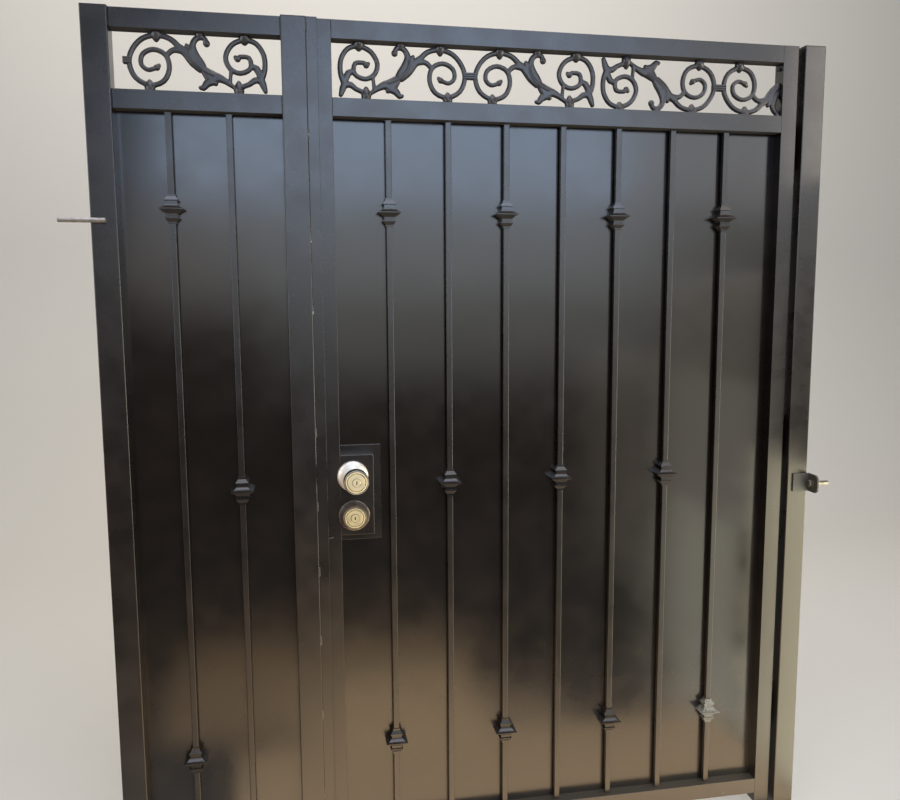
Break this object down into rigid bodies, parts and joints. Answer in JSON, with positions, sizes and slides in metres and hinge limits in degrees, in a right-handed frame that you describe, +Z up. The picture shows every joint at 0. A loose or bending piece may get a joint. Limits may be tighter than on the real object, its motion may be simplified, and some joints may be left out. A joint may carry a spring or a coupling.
{
  "type": "ornamental steel walk gate",
  "caption": "Dark painted steel walk gate with a fixed side panel, sheet backing, square bars with cast collars, a scroll band, keyed locks and one leaf that swings on its hinge post.",
  "frame": {"origin": "centre of the hinge post's foot, at ground level", "axes": "+X along the gate towards the hinge-side wall, -Y towards the street, +Z up"},
  "size_m": [1.7047, 0.1184, 1.8796],
  "materials": {
    "painted_steel": "semi-gloss, very dark bronze",
    "painted_sheet": "semi-gloss, very dark bronze",
    "painted_casting": "semi-gloss over a cast skin",
    "satin_nickel": "satin",
    "worn_brass": "worn satin",
    "zinc_steel": "dull zinc",
    "bolt_steel": "weathered dark paint"
  },
  "bodies": {
    "fixed_frame": {"side_post": "painted_steel", "centre_post": "painted_steel", "hinge_post": "painted_steel", "post_caps": "painted_steel", "panel_top_rail": "painted_steel", "panel_middle_rail": "painted_steel", "panel_bottom_rail": "painted_steel", "panel_bars": "painted_steel", "panel_collars": "painted_casting", "panel_sheet": "painted_sheet", "panel_scroll": "painted_casting", "panel_band": "painted_casting", "stop_strip": "painted_steel", "angle_clips": "painted_steel", "clip_bolts": "bolt_steel", "anchor_rods": "zinc_steel", "post_hinge_halves": "painted_steel", "hinge_pins": "painted_steel"},
    "gate_leaf": {"lock_stile": "painted_steel", "hinge_stile": "painted_steel", "top_rail": "painted_steel", "middle_rail": "painted_steel", "bottom_rail": "painted_steel", "bar_1": "painted_steel", "bar_2": "painted_steel", "bar_3": "painted_steel", "bar_4": "painted_steel", "bar_5": "painted_steel", "bar_6": "painted_steel", "bar_7": "painted_steel", "top_collars": "painted_casting", "middle_collars": "painted_casting", "bottom_collars": "painted_casting", "leaf_sheet": "painted_sheet", "leaf_scroll": "painted_casting", "scroll_bands": "painted_casting", "lock_box": "painted_steel", "lock_plate": "painted_steel", "upper_lock_guard": "satin_nickel", "upper_lock_face": "worn_brass", "lower_lock_guard": "satin_nickel", "lower_lock_face": "worn_brass", "inside_turns": "satin_nickel", "leaf_hinge_halves": "painted_steel"}
  },
  "joints": [
    {"name": "leaf_swing", "type": "hinge", "parent": "fixed_frame", "child": "gate_leaf", "pos_m": [-0.0297, 0.0349, 0.97155], "axis": [0, 0, -1], "range_deg": [0, 105]}
  ]
}
